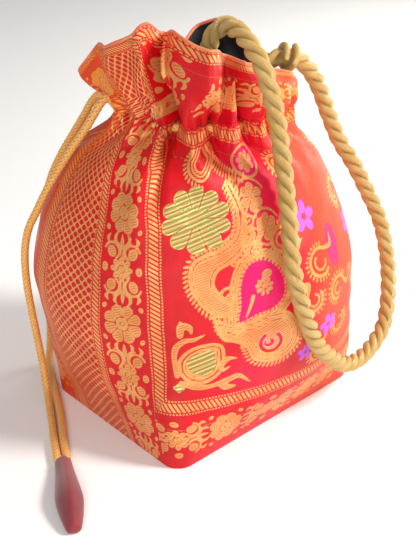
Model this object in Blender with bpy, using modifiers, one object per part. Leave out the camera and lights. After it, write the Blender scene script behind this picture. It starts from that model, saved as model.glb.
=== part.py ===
"""Drawstring potli bag with a flat oblong base, a gathered neck with a ruffle above it, a black
lining, a braided drawstring with a stuffed fabric drop, and a twisted rope handle.

Units are metres and +Z is up. The origin is the middle of the underside, which stands on Z = 0.
The front face looks along -Y, the left face along -X, and the corner between them is the front
corner. Above the base the bag is widest along its left-right diagonal, so the sections are given
in two directions: ACROSS, along that diagonal, and FORWARD, towards the front corner."""

import math

import bmesh
import bpy
import numpy as np

# Driving dimensions
BASE_WIDTH = 0.140
BASE_DEPTH = 0.112
BASE_CORNER_RADIUS = 0.010
NECK_HEIGHT = 0.172
CLOTH = 0.0012  # brocade with its backing
LINING = 0.0006
GAP = 0.0003  # between touching pieces
LINING_INSET = CLOTH + 0.0007  # lining below the brocade's face, with room for the facets
BASE_PANEL = 0.0012
BOARD = 0.0020
BOARD_INSET = 0.0040
PLEATS = 12
PLEAT_DEPTH = 0.0040
PLEATS_START = 0.115  # height above the floor
LINING_EASE = 1.3  # the lining keeps clear of the valleys by this many pleat depths
RUFFLE_SWELL = 0.003
RIM_SHARE = 0.12  # the lining stops short of the rim by this share of the ruffle's top band
ROPE_DIAMETER = 0.0094
ROPE_SPACING = 0.0150
CORD_DIAMETER = 0.0044
CORD_SPACING = 0.0112
CORD_HEIGHT = 0.1675  # of the cord in its casing
DROP_LENGTH = 0.054
DROP_EDGE = 0.0006
SLIT_AT = (-0.0440, 0.0, 0.1700)  # across, forward, height
SLIT_SIZE = (0.0160, 0.0150, 0.0100)

ACROSS = np.array([0.739, -0.674])
FORWARD = np.array([-0.674, -0.739])
COLUMNS = 72
RUFFLE_SHARES = (0.0, 0.35, 0.7, 1.0)  # rings of the ruffle, from the neck to its edge
WALL_HEIGHTS = (0.0, 0.010, 0.030, 0.055, 0.085, 0.110, 0.132, 0.148, 0.160, 0.167)
LINING_HEIGHTS = (0.010, 0.030, 0.055, 0.085, 0.110, 0.132, 0.148)  # above its floor
CASING_HEIGHTS = (0.163, NECK_HEIGHT)

# Sections of the body: height, centre across, centre forward, half width across, half width
# forward, and the share of the base's oblong outline
SECTIONS = np.array(
    [
        (0.000, 0.000, 0.000, 0.0885, 0.0885, 1.00),
        (0.010, 0.000, 0.000, 0.0890, 0.0850, 0.85),
        (0.030, -0.002, 0.000, 0.0890, 0.0800, 0.45),
        (0.055, -0.004, 0.002, 0.0890, 0.0740, 0.15),
        (0.085, -0.006, 0.004, 0.0885, 0.0720, 0.00),
        (0.110, -0.006, 0.004, 0.0830, 0.0700, 0.00),
        (0.132, -0.005, 0.003, 0.0745, 0.0610, 0.00),
        (0.150, -0.004, 0.002, 0.0635, 0.0470, 0.00),
        (0.163, -0.001, 0.000, 0.0470, 0.0320, 0.00),
        (NECK_HEIGHT, 0.001, 0.000, 0.0430, 0.0290, 0.00),
    ]
)

# Rim of the ruffle: share of the way round from the front corner, then across, forward, height
RIM = np.array(
    [
        (0.000, -0.001, 0.034, 0.2125),
        (0.045, 0.009, 0.036, 0.2110),
        (0.078, 0.012, 0.019, 0.2040),
        (0.120, 0.022, 0.030, 0.2030),
        (0.165, 0.031, 0.022, 0.2000),
        (0.205, 0.036, 0.008, 0.1940),
        (0.265, 0.047, -0.002, 0.1880),
        (0.300, 0.043, -0.013, 0.1840),
        (0.335, 0.031, -0.014, 0.1860),
        (0.370, 0.030, -0.023, 0.1960),
        (0.415, 0.022, -0.028, 0.2070),
        (0.460, 0.010, -0.032, 0.2085),
        (0.510, -0.003, -0.034, 0.2040),
        (0.550, -0.012, -0.023, 0.1980),
        (0.600, -0.024, -0.032, 0.1990),
        (0.655, -0.038, -0.026, 0.1970),
        (0.695, -0.038, -0.013, 0.1920),
        (0.735, -0.053, -0.012, 0.1920),
        (0.770, -0.063, -0.001, 0.1905),
        (0.800, -0.052, 0.004, 0.2050),
        (0.835, -0.046, 0.014, 0.2070),
        (0.880, -0.034, 0.021, 0.2140),
        (0.915, -0.026, 0.021, 0.2200),
        (0.942, -0.019, 0.008, 0.2120),
        (0.970, -0.013, 0.020, 0.2160),
    ]
)

# Routes of the rope and the cords: across, forward, height. The rope leaves the inside of the
# mouth, hangs over the front rim and down the front, turns above the floor beside the right
# corner and comes back over the right end of the rim.
ROPE_ROUTE = (
    (0.0020, 0.0112, 0.1870),
    (0.0033, 0.0116, 0.2000),
    (0.0060, 0.0122, 0.2110),
    (0.0109, 0.0140, 0.2170),
    (0.0185, 0.0239, 0.2172),
    (0.0250, 0.0339, 0.2115),
    (0.0299, 0.0399, 0.2039),
    (0.0333, 0.0419, 0.1938),
    (0.0358, 0.0428, 0.1843),
    (0.0391, 0.0448, 0.1657),
    (0.0406, 0.0478, 0.1549),
    (0.0416, 0.0528, 0.1449),
    (0.0430, 0.0588, 0.1337),
    (0.0440, 0.0638, 0.1214),
    (0.0451, 0.0663, 0.1105),
    (0.0486, 0.0668, 0.0960),
    (0.0528, 0.0648, 0.0812),
    (0.0587, 0.0587, 0.0635),
    (0.0688, 0.0467, 0.0453),
    (0.0794, 0.0326, 0.0312),
    (0.0900, 0.0186, 0.0258),
    (0.0986, 0.0065, 0.0268),
    (0.1066, -0.0065, 0.0324),
    (0.1099, -0.0175, 0.0500),
    (0.1078, -0.0235, 0.0737),
    (0.1019, -0.0265, 0.0952),
    (0.0947, -0.0280, 0.1098),
    (0.0858, -0.0294, 0.1266),
    (0.0770, -0.0294, 0.1406),
    (0.0692, -0.0273, 0.1590),
    (0.0632, -0.0243, 0.1743),
    (0.0565, -0.0203, 0.1856),
    (0.0513, -0.0172, 0.1905),
    (0.0459, -0.0152, 0.1925),
    (0.0394, -0.0122, 0.1930),
    (0.0330, -0.0092, 0.1915),
    (0.0285, -0.0070, 0.1870),
    (0.0268, -0.0058, 0.1810),
)

# The drawstring's near end, from the slit in the casing over the left shoulder to the floor and
# forward along it to the drop, and its far end, which goes behind the shoulder
NEAR_ROUTE = (
    (-0.0376, 0.0040, 0.1680),
    (-0.0420, 0.0045, 0.1700),
    (-0.0450, 0.0055, 0.1755),
    (-0.0480, 0.0065, 0.1785),
    (-0.0505, 0.0082, 0.1769),
    (-0.0542, 0.0103, 0.1718),
    (-0.0579, 0.0115, 0.1661),
    (-0.0620, 0.0120, 0.1603),
    (-0.0664, 0.0125, 0.1544),
    (-0.0738, 0.0140, 0.1436),
    (-0.0808, 0.0150, 0.1326),
    (-0.0885, 0.0160, 0.1183),
    (-0.0930, 0.0160, 0.1095),
    (-0.0952, 0.0160, 0.1025),
    (-0.0968, 0.0155, 0.0942),
    (-0.0976, 0.0150, 0.0838),
    (-0.0976, 0.0145, 0.0700),
    (-0.0969, 0.0135, 0.0557),
    (-0.0958, 0.0135, 0.0430),
    (-0.0947, 0.0134, 0.0294),
    (-0.0934, 0.0144, 0.0161),
    (-0.0915, 0.0210, 0.0055),
    (-0.0888, 0.0320, 0.0026),
    (-0.0860, 0.0444, 0.0026),
    (-0.0820, 0.0628, 0.0026),
    (-0.0777, 0.0806, 0.0026),
)
FAR_ROUTE = (
    (-0.0376, -0.0040, 0.1680),
    (-0.0430, -0.0050, 0.1690),
    (-0.0490, -0.0080, 0.1735),
    (-0.0535, -0.0110, 0.1745),
    (-0.0580, -0.0145, 0.1700),
    (-0.0630, -0.0175, 0.1615),
    (-0.0700, -0.0205, 0.1500),
    (-0.0780, -0.0225, 0.1370),
    (-0.0855, -0.0240, 0.1220),
    (-0.0905, -0.0250, 0.1060),
    (-0.0930, -0.0260, 0.0900),
    (-0.0940, -0.0265, 0.0700),
    (-0.0945, -0.0265, 0.0450),
    (-0.0950, -0.0260, 0.0210),
    (-0.0957, -0.0220, 0.0075),
    (-0.0955, -0.0140, 0.0028),
    (-0.0925, -0.0020, 0.0026),
    (-0.0880, 0.0150, 0.0026),
    (-0.0835, 0.0320, 0.0026),
    (-0.0800, 0.0470, 0.0026),
    (-0.0768, 0.0635, 0.0026),
    (-0.0728, 0.0796, 0.0026),
)

# The drop lies on the floor: distance along it, half width, height; and its outline in those
# two
DROP_TOP = (-0.0750, 0.0804)
DROP_TIP = (-0.0629, 0.1331)
DROP_SECTIONS = (
    (0.000, 0.0047, 0.0060),
    (0.010, 0.0052, 0.0075),
    (0.022, 0.0069, 0.0105),
    (0.032, 0.0080, 0.0120),
    (0.044, 0.0066, 0.0100),
    (DROP_LENGTH, 0.0042, 0.0065),
)
DROP_OUTLINE = ((-0.5, 0.0), (0.5, 0.0), (1.0, 0.42), (0.12, 1.0), (-0.12, 1.0), (-1.0, 0.42))


def collection(name):
    found = bpy.data.collections.new(name)
    bpy.context.scene.collection.children.link(found)
    return found


def material(name, colour, roughness, metallic=0.0):
    mat = bpy.data.materials.new(name)
    mat.use_nodes = True
    mat.diffuse_color = (*colour, 1.0)
    shader = mat.node_tree.nodes["Principled BSDF"]
    shader.inputs["Base Color"].default_value = (*colour, 1.0)
    shader.inputs["Roughness"].default_value = roughness
    shader.inputs["Metallic"].default_value = metallic
    return mat


def smooth_between(knots, places):
    """Values at places along a smooth curve through knots, whose first column is the place."""
    at = knots[:, 0]
    slope = np.diff(knots[:, 1:], axis=0) / np.diff(at)[:, None]
    inner = np.where(
        slope[:-1] * slope[1:] > 0,
        2 * slope[:-1] * slope[1:] / (slope[:-1] + slope[1:] + 1e-12),
        0.0,
    )
    tangent = np.vstack([slope[:1], inner, slope[-1:]])
    return hermite(at, knots[:, 1:], tangent, places)


def smooth_loop(knots, places):
    """As smooth_between, on a closed loop whose places run from 0 to 1."""
    at = np.concatenate([knots[-2:, 0] - 1, knots[:, 0], knots[:2, 0] + 1])
    values = np.vstack([knots[-2:, 1:], knots[:, 1:], knots[:2, 1:]])
    tangent = np.zeros_like(values)
    tangent[1:-1] = (values[2:] - values[:-2]) / (at[2:] - at[:-2])[:, None]
    return hermite(at, values, tangent, places)


def hermite(at, values, tangent, places):
    i = np.clip(np.searchsorted(at, places, side="right") - 1, 0, len(at) - 2)
    step = (at[i + 1] - at[i])[:, None]
    t = ((places - at[i])[:, None]) / step
    return (
        (1 + 2 * t) * (1 - t) ** 2 * values[i]
        + t * (1 - t) ** 2 * step * tangent[i]
        + t * t * (3 - 2 * t) * values[i + 1]
        + t * t * (t - 1) * step * tangent[i + 1]
    )


def evenly(loop, start, count):
    """count points evenly spaced anticlockwise along a closed loop, from the direction of start."""
    closed = np.vstack([loop, loop[:1]])
    along = np.concatenate([[0], np.cumsum(np.hypot(*np.diff(closed, axis=0).T))])
    fine = np.linspace(0, along[-1], 4001)[:-1]
    dense = np.stack([np.interp(fine, along, closed[:, k]) for k in (0, 1)], axis=1)
    away = dense - loop.mean(axis=0)
    turn = np.arctan2(away[:, 1], away[:, 0]) - math.atan2(start[1], start[0])
    first = np.argmin(np.abs(np.angle(np.exp(1j * turn))))
    picks = (first + np.linspace(0, len(dense), count, endpoint=False)).astype(int)
    return dense[picks % len(dense)]


def oblong(width, depth, radius, steps=8):
    """A rounded rectangle about the origin, anticlockwise."""
    points = []
    for quarter, (sx, sy) in enumerate(((1, -1), (1, 1), (-1, 1), (-1, -1))):
        for a in np.radians(np.linspace(90 * quarter - 90, 90 * quarter, steps + 1)):
            points.append(
                (
                    sx * (width / 2 - radius) + radius * math.cos(a),
                    sy * (depth / 2 - radius) + radius * math.sin(a),
                )
            )
    return np.array(points)


def section(height, inset=0.0):
    """COLUMNS points round the body at a height, from the front corner towards the right."""
    across, forward, wide, deep, share = smooth_between(SECTIONS, np.array([height]))[0]
    corner = (-BASE_WIDTH / 2, -BASE_DEPTH / 2)
    base = oblong(
        BASE_WIDTH - 2 * inset, BASE_DEPTH - 2 * inset, BASE_CORNER_RADIUS - inset
    )
    turn = -np.linspace(0, 2 * math.pi, 721)[:-1]
    oval = (across + (wide - inset) * np.cos(turn))[:, None] * ACROSS
    oval = oval + (forward + (deep - inset) * np.sin(turn))[:, None] * FORWARD
    return share * evenly(base, corner, COLUMNS) + (1 - share) * evenly(
        oval, corner, COLUMNS
    )


def pleat_depth(height):
    """How deep the pleats are: nothing at mid height, all at the neck."""
    t = min(max((height - PLEATS_START) / (NECK_HEIGHT - PLEATS_START), 0.0), 1.0)
    return PLEAT_DEPTH * t * t * (3 - 2 * t)


def pleated(height):
    """The section with its valleys pushed in."""
    ring = section(height)
    middle = ring.mean(axis=0)
    out = ring - middle
    out /= np.linalg.norm(out, axis=1)[:, None]
    phase = np.arange(COLUMNS) / COLUMNS * PLEATS * 2 * math.pi
    return ring - out * (pleat_depth(height) * (0.5 - 0.5 * np.cos(phase)))[:, None]


def rim():
    """COLUMNS points along the ruffle's edge."""
    across, forward, height = smooth_loop(RIM, np.arange(COLUMNS) / COLUMNS).T
    flat = across[:, None] * ACROSS + forward[:, None] * FORWARD
    return np.column_stack([flat, height])


def at_height(ring, height):
    return np.column_stack([ring, np.full(len(ring), height)])


def ruffle(neck, edge, share):
    """A ring between the neck and the rim, swelling outwards in between."""
    middle = neck.mean(axis=0)
    out = neck - middle
    out /= np.linalg.norm(out, axis=1)[:, None]
    ring = neck + (edge - neck) * share
    return ring + out * RUFFLE_SWELL * math.sin(math.pi * share)


def loft(name, rings, floor=False):
    """A mesh through rings of COLUMNS points, bottom ring first, with a floor if asked."""
    bm = bmesh.new()
    rows = [[bm.verts.new(p) for p in ring] for ring in rings]
    for low, high in zip(rows, rows[1:]):
        for j in range(COLUMNS):
            k = (j + 1) % COLUMNS
            bm.faces.new((low[j], low[k], high[k], high[j]))
    if floor:
        bm.faces.new(reversed(rows[0]))
    mesh = bpy.data.meshes.new(name)
    bm.to_mesh(mesh)
    bm.free()
    return mesh


def add(name, data, home, mat):
    obj = bpy.data.objects.new(name, data)
    home.objects.link(obj)
    data.materials.append(mat)
    return obj


def thicken(obj, thickness):
    """Solidify inwards from the modelled face."""
    solid = obj.modifiers.new("thickness", "SOLIDIFY")
    solid.thickness = thickness
    solid.offset = -1.0
    solid.use_even_offset = False


def outer_wall(home, mat):
    rings = [at_height(pleated(h), h) for h in WALL_HEIGHTS]
    neck = at_height(pleated(NECK_HEIGHT), NECK_HEIGHT)
    edge = rim()
    rings += [ruffle(neck, edge, share) for share in RUFFLE_SHARES]
    mesh = loft("outer_wall", rings)
    mesh.shade_smooth()
    wall = add("outer_wall", mesh, home, mat)
    thicken(wall, CLOTH)
    return wall


def behind_ruffle(wall):
    """The rings of the ruffle above the neck, moved in behind the brocade."""
    count = len(RUFFLE_SHARES) - 1
    edge = wall.data.vertices[-count * COLUMNS :]
    moved = [v.co - v.normal * (CLOTH + 3 * GAP) for v in edge]
    rings = np.array(moved).reshape(count, COLUMNS, 3)
    rings[-1] += (rings[-2] - rings[-1]) * RIM_SHARE
    return list(rings)


def lining_bag(home, mat, wall):
    """The lining: inside the brocade, drawn in round the neck to leave the casing for the cord."""
    floor = BASE_PANEL + BOARD + 3 * GAP
    rings = []
    for h in (floor, *LINING_HEIGHTS):
        inset = LINING_INSET + LINING_EASE * pleat_depth(h)
        rings.append(at_height(section(h, inset), h))
    casing = PLEAT_DEPTH + CLOTH + CORD_DIAMETER + 9 * GAP
    for h in CASING_HEIGHTS:
        rings.append(at_height(section(h, casing), h))
    rings += behind_ruffle(wall)
    mesh = loft("lining", rings, floor=True)
    mesh.shade_smooth()
    lining = add("lining", mesh, home, mat)
    thicken(lining, LINING)
    return lining


def plate(name, home, mat, inset, low, thickness):
    """A flat oblong sheet that lies inside the foot of the wall."""
    outline = oblong(
        BASE_WIDTH - 2 * inset, BASE_DEPTH - 2 * inset, BASE_CORNER_RADIUS - inset / 2
    )
    curve = bpy.data.curves.new(name, "CURVE")
    curve.dimensions = "2D"
    curve.fill_mode = "BOTH"
    curve.extrude = thickness / 2
    spline = curve.splines.new("POLY")
    spline.points.add(len(outline) - 1)
    for point, (x, y) in zip(spline.points, outline):
        point.co = (x, y, 0.0, 1.0)
    spline.use_cyclic_u = True
    sheet = add(name, curve, home, mat)
    sheet.location = (0.0, 0.0, low + thickness / 2)
    return sheet


def place(point):
    """A world position from across, forward and height."""
    across, forward, height = point
    x, y = across * ACROSS + forward * FORWARD
    return (x, y, height)


def read_route(route, spacing):
    """Points at an even spacing on the smooth curve through a route's own points."""
    own = np.array([place(p) for p in route])
    along = np.concatenate([[0], np.cumsum(np.linalg.norm(np.diff(own, axis=0), axis=1))])
    tangent = np.gradient(own, along, axis=0)
    fine = np.linspace(0, along[-1], 2000)
    dense = hermite(along, own, tangent, fine)
    true = np.concatenate([[0], np.cumsum(np.linalg.norm(np.diff(dense, axis=0), axis=1))])
    at = np.linspace(0, true[-1], round(true[-1] / spacing) + 1)
    return np.stack([np.interp(at, true, dense[:, k]) for k in range(3)], axis=1)


def casing_ring():
    """Route points of the drawstring round the neck, from its near end to its far one."""
    across, forward, wide, deep, _ = smooth_between(SECTIONS, np.array([CORD_HEIGHT]))[0]
    inset = PLEAT_DEPTH + CLOTH + CORD_DIAMETER / 2 + 3 * GAP
    points = []
    for angle in np.radians(np.linspace(168, -168, 17)):
        a = across + (wide - inset) * math.cos(angle)
        f = forward + (deep - inset) * math.sin(angle)
        points.append((a, f, CORD_HEIGHT))
    return tuple(points)


def tube(name, points, diameter, home, mat):
    curve = bpy.data.curves.new(name, "CURVE")
    curve.dimensions = "3D"
    curve.bevel_depth = diameter / 2
    curve.bevel_resolution = 2
    curve.use_fill_caps = True
    spline = curve.splines.new("POLY")
    spline.points.add(len(points) - 1)
    for point, co in zip(spline.points, points):
        point.co = (*co, 1.0)
    return add(name, curve, home, mat)


def drawstring(home, mat):
    """One cord with both ends at the drop: up over the shoulder, round the casing and back."""
    route = NEAR_ROUTE[::-1] + casing_ring() + FAR_ROUTE
    return tube("drawstring", read_route(route, CORD_SPACING), CORD_DIAMETER, home, mat)


def cord_drop(home, mat):
    """A stuffed fabric drop with a ridge along its top, lying on its flattened side."""
    top = np.array(place((*DROP_TOP, 0.0)))
    tip = np.array(place((*DROP_TIP, 0.0)))
    along = (tip - top) / np.linalg.norm(tip - top)
    side = np.array([along[1], -along[0], 0.0])
    bm = bmesh.new()
    rings = []
    for distance, half, height in DROP_SECTIONS:
        middle = top + along * (GAP + distance)
        ring = []
        for s, up in DROP_OUTLINE:
            point = middle + side * half * s
            ring.append(bm.verts.new((point[0], point[1], GAP + height * up)))
        rings.append(ring)
    for low, high in zip(rings, rings[1:]):
        for j in range(len(low)):
            k = (j + 1) % len(low)
            bm.faces.new((low[j], low[k], high[k], high[j]))
    bm.faces.new(reversed(rings[0]))
    bm.faces.new(rings[-1])
    bmesh.ops.recalc_face_normals(bm, faces=bm.faces)
    mesh = bpy.data.meshes.new("cord_drop")
    bm.to_mesh(mesh)
    bm.free()
    drop = add("cord_drop", mesh, home, mat)
    soften = drop.modifiers.new("soft edges", "BEVEL")
    soften.width = DROP_EDGE
    soften.segments = 2
    soften.limit_method = "ANGLE"
    return drop


def casing_slit(wall, cutters):
    """The buttonhole in the left end of the neck that the drawstring comes out of."""
    bpy.ops.mesh.primitive_cube_add(size=1.0, location=place(SLIT_AT))
    cutter = bpy.context.object
    cutter.name = "slit_cutter"
    cutter.scale = SLIT_SIZE
    cutter.rotation_euler = (0.0, 0.0, math.atan2(ACROSS[1], ACROSS[0]))
    for other in cutter.users_collection:
        other.objects.unlink(cutter)
    cutters.objects.link(cutter)
    cutter.hide_render = True
    cutter.display_type = "WIRE"
    cut = wall.modifiers.new("slit", "BOOLEAN")
    cut.operation = "DIFFERENCE"
    cut.solver = "EXACT"
    cut.object = cutter


def main():
    for obj in list(bpy.data.objects):
        bpy.data.objects.remove(obj)
    bag = collection("potli_bag")
    cutters = collection("cutters")
    brocade = material("brocade", (0.68, 0.03, 0.03), 0.42, 0.1)
    satin = material("lining_satin", (0.012, 0.012, 0.016), 0.35)
    card = material("card", (0.45, 0.36, 0.25), 0.9)
    braid = material("braid", (0.75, 0.33, 0.07), 0.5, 0.1)
    maroon = material("maroon_cloth", (0.16, 0.008, 0.014), 0.6)
    rope_gold = material("rope_gold", (0.85, 0.56, 0.18), 0.35, 0.1)
    wall = outer_wall(bag, brocade)
    lining_bag(bag, satin, wall)
    plate("base_panel", bag, brocade, CLOTH + 2 * GAP, 0.0, BASE_PANEL)
    plate("base_board", bag, card, BOARD_INSET, BASE_PANEL + GAP, BOARD)
    casing_slit(wall, cutters)
    drawstring(bag, braid)
    cord_drop(bag, maroon)
    tube("rope_handle", read_route(ROPE_ROUTE, ROPE_SPACING), ROPE_DIAMETER, bag, rope_gold)


main()
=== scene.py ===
"""The potli bag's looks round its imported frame: brocade drawn in folds, black lining, braided
drawstring with a velvet drop, and a three-strand rope handle. Metres, +Z up, the CAD's frame."""

import math

import bpy
import numpy as np
from mathutils import Matrix, Vector


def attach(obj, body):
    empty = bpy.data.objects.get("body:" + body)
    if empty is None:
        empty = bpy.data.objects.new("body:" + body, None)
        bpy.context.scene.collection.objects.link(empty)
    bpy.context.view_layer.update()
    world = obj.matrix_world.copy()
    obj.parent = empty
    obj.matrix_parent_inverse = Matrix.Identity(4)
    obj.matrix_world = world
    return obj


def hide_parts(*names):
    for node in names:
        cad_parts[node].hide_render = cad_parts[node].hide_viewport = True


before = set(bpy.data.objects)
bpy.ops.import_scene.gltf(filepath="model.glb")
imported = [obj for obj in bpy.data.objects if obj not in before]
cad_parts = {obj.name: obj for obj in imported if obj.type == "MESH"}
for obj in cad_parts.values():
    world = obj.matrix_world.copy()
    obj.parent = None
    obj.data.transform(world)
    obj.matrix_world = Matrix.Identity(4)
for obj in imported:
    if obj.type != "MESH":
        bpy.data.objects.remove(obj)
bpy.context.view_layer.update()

# Shape of the cloth: u runs round the bag from the front corner towards the right, v up it from
# the floor, both in metres along the cloth
BASE = (0.140, 0.112, 0.010)
NECK_HEIGHT = 0.172
CIRCUMFERENCE = 0.504
NECK_V = 0.188
RIM_V = 0.231
ACROSS = np.array([0.739, -0.674])
FORWARD = np.array([-0.674, -0.739])

# Sections of the body, as in the CAD: height, centre across, centre forward, half width across,
# half width forward, share of the base's oblong
SECTIONS = np.array(
    [
        (0.000, 0.000, 0.000, 0.0885, 0.0885, 1.00),
        (0.010, 0.000, 0.000, 0.0890, 0.0850, 0.85),
        (0.030, -0.002, 0.000, 0.0890, 0.0800, 0.45),
        (0.055, -0.004, 0.002, 0.0890, 0.0740, 0.15),
        (0.085, -0.006, 0.004, 0.0885, 0.0720, 0.00),
        (0.110, -0.006, 0.004, 0.0830, 0.0700, 0.00),
        (0.132, -0.005, 0.003, 0.0745, 0.0610, 0.00),
        (0.150, -0.004, 0.002, 0.0635, 0.0470, 0.00),
        (0.163, -0.001, 0.000, 0.0470, 0.0320, 0.00),
        (NECK_HEIGHT, 0.001, 0.000, 0.0430, 0.0290, 0.00),
    ]
)

# Rim of the ruffle, as in the CAD: share of the way round, across, forward, height
RIM = np.array(
    [
        (0.000, -0.001, 0.034, 0.2125),
        (0.045, 0.009, 0.036, 0.2110),
        (0.078, 0.012, 0.019, 0.2040),
        (0.120, 0.022, 0.030, 0.2030),
        (0.165, 0.031, 0.022, 0.2000),
        (0.205, 0.036, 0.008, 0.1940),
        (0.265, 0.047, -0.002, 0.1880),
        (0.300, 0.043, -0.013, 0.1840),
        (0.335, 0.031, -0.014, 0.1860),
        (0.370, 0.030, -0.023, 0.1960),
        (0.415, 0.022, -0.028, 0.2070),
        (0.460, 0.010, -0.032, 0.2085),
        (0.510, -0.003, -0.034, 0.2040),
        (0.550, -0.012, -0.023, 0.1980),
        (0.600, -0.024, -0.032, 0.1990),
        (0.655, -0.038, -0.026, 0.1970),
        (0.695, -0.038, -0.013, 0.1920),
        (0.735, -0.053, -0.012, 0.1920),
        (0.770, -0.063, -0.001, 0.1905),
        (0.800, -0.052, 0.004, 0.2050),
        (0.835, -0.046, 0.014, 0.2070),
        (0.880, -0.034, 0.021, 0.2140),
        (0.915, -0.026, 0.021, 0.2200),
        (0.942, -0.019, 0.008, 0.2120),
        (0.970, -0.013, 0.020, 0.2160),
    ]
)


def hermite(at, values, tangent, places):
    i = np.clip(np.searchsorted(at, places, side="right") - 1, 0, len(at) - 2)
    step = (at[i + 1] - at[i])[:, None]
    t = (places - at[i])[:, None] / step
    return (
        (1 + 2 * t) * (1 - t) ** 2 * values[i]
        + t * (1 - t) ** 2 * step * tangent[i]
        + t * t * (3 - 2 * t) * values[i + 1]
        + t * t * (t - 1) * step * tangent[i + 1]
    )


def smooth_between(knots, places):
    at = knots[:, 0]
    slope = np.diff(knots[:, 1:], axis=0) / np.diff(at)[:, None]
    inner = np.where(
        slope[:-1] * slope[1:] > 0,
        2 * slope[:-1] * slope[1:] / (slope[:-1] + slope[1:] + 1e-12),
        0.0,
    )
    return hermite(at, knots[:, 1:], np.vstack([slope[:1], inner, slope[-1:]]), places)


def smooth_loop(knots, places):
    at = np.concatenate([knots[-2:, 0] - 1, knots[:, 0], knots[:2, 0] + 1])
    values = np.vstack([knots[-2:, 1:], knots[:, 1:], knots[:2, 1:]])
    tangent = np.zeros_like(values)
    tangent[1:-1] = (values[2:] - values[:-2]) / (at[2:] - at[:-2])[:, None]
    return hermite(at, values, tangent, places)


def evenly(loop, start, shares):
    closed = np.vstack([loop, loop[:1]])
    along = np.concatenate([[0], np.cumsum(np.hypot(*np.diff(closed, axis=0).T))])
    fine = np.linspace(0, along[-1], 8001)[:-1]
    dense = np.stack([np.interp(fine, along, closed[:, k]) for k in (0, 1)], axis=1)
    away = dense - loop.mean(axis=0)
    turn = np.arctan2(away[:, 1], away[:, 0]) - math.atan2(start[1], start[0])
    first = np.argmin(np.abs(np.angle(np.exp(1j * turn))))
    picks = first + (shares % 1.0) * len(dense)
    whole = np.arange(2 * len(dense) + 1)
    twice = np.vstack([dense, dense, dense[:1]])
    return np.stack([np.interp(picks, whole, twice[:, k]) for k in (0, 1)], axis=1)


def oblong(width, depth, radius, steps=12):
    points = []
    for quarter, (sx, sy) in enumerate(((1, -1), (1, 1), (-1, 1), (-1, -1))):
        for a in np.radians(np.linspace(90 * quarter - 90, 90 * quarter, steps + 1)):
            x = sx * (width / 2 - radius) + radius * math.cos(a)
            y = sy * (depth / 2 - radius) + radius * math.sin(a)
            points.append((x, y))
    return np.array(points)


def section(height, shares, inset=0.0):
    """Points round the body at a height, at shares of the way from the front corner to the right."""
    across, forward, wide, deep, share = smooth_between(SECTIONS, np.array([height]))[0]
    width, depth, radius = BASE
    corner = (-width / 2, -depth / 2)
    base = oblong(width - 2 * inset, depth - 2 * inset, radius - inset)
    turn = -np.linspace(0, 2 * math.pi, 721)[:-1]
    oval = (across + (wide - inset) * np.cos(turn))[:, None] * ACROSS
    oval = oval + (forward + (deep - inset) * np.sin(turn))[:, None] * FORWARD
    return share * evenly(base, corner, shares) + (1 - share) * evenly(oval, corner, shares)


def ease(x):
    x = np.clip(x, 0.0, 1.0)
    return x * x * (3 - 2 * x)


def body_rings(shares, levels):
    return np.array([np.column_stack([section(h, shares), np.full(len(shares), h)]) for h in levels])


def rows_by_length(rows):
    """Heights of evenly spaced rows of cloth between the floor and the neck."""
    fine = np.linspace(0, NECK_HEIGHT, 173)
    rings = body_rings(np.arange(96) / 96, fine)
    step = np.linalg.norm(np.diff(rings, axis=0), axis=2).mean(axis=1)
    along = np.concatenate([[0], np.cumsum(step)])
    return np.interp(np.linspace(0, along[-1], rows), along, fine)


# Folds of the body: u at the neck, u at the foot, v at the foot, half width at the neck, half
# width at the foot, and how far the fold stands out; a valley is negative
BODY_FOLDS = np.array(
    [
        (-0.0215, -0.0090, 0.128, 0.0042, 0.0050, -0.0120),
        (-0.0330, -0.0085, 0.085, 0.0085, 0.0110, 0.0048),
        (-0.0020, 0.0400, 0.128, 0.0085, 0.0120, 0.0075),
        (0.0185, 0.0530, 0.140, 0.0050, 0.0080, -0.0085),
        (0.0400, 0.0660, 0.140, 0.0080, 0.0100, 0.0055),
        (0.0575, 0.0800, 0.145, 0.0045, 0.0070, -0.0070),
        (0.0740, 0.0900, 0.140, 0.0070, 0.0100, 0.0040),
        (0.0900, 0.1020, 0.148, 0.0050, 0.0080, -0.0065),
        (-0.0480, -0.0560, 0.166, 0.0050, 0.0070, -0.0060),
        (-0.0640, -0.0700, 0.158, 0.0070, 0.0090, 0.0030),
        (-0.0800, -0.0850, 0.162, 0.0050, 0.0070, -0.0055),
        (-0.0960, -0.1000, 0.150, 0.0070, 0.0090, 0.0030),
        (-0.1120, -0.1150, 0.158, 0.0050, 0.0070, -0.0060),
        (-0.0300, -0.0760, 0.020, 0.0200, 0.0200, -0.0010),
    ]
)

# Folds of the ruffle: u at the neck, u at the rim, half width at the neck and at the rim, and how
# far it stands out at the neck, half way up and at the rim
RUFFLE_FOLDS = np.array(
    [
        (-0.0215, -0.0310, 0.0040, 0.0040, -0.0090, -0.0100, 0.0000),
        (-0.0215, -0.0260, 0.0018, 0.0018, 0.0020, 0.0070, 0.0000),
        (0.0330, 0.0380, 0.0045, 0.0060, -0.0070, -0.0040, 0.0000),
        (0.0510, 0.0560, 0.0070, 0.0050, -0.0030, -0.0090, 0.0000),
        (0.0180, 0.0160, 0.0100, 0.0120, 0.0030, 0.0060, 0.0000),
        (-0.0600, -0.0640, 0.0060, 0.0090, -0.0050, -0.0030, 0.0000),
        (-0.0850, -0.0950, 0.0060, 0.0100, -0.0050, -0.0030, 0.0000),
        (0.0760, 0.0800, 0.0050, 0.0060, -0.0060, -0.0040, 0.0000),
        (0.0950, 0.1000, 0.0050, 0.0060, -0.0060, -0.0030, 0.0000),
    ]
)


def wrapped(u):
    """u brought to the nearer side of the front corner."""
    return (u + CIRCUMFERENCE / 2) % CIRCUMFERENCE - CIRCUMFERENCE / 2


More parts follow.
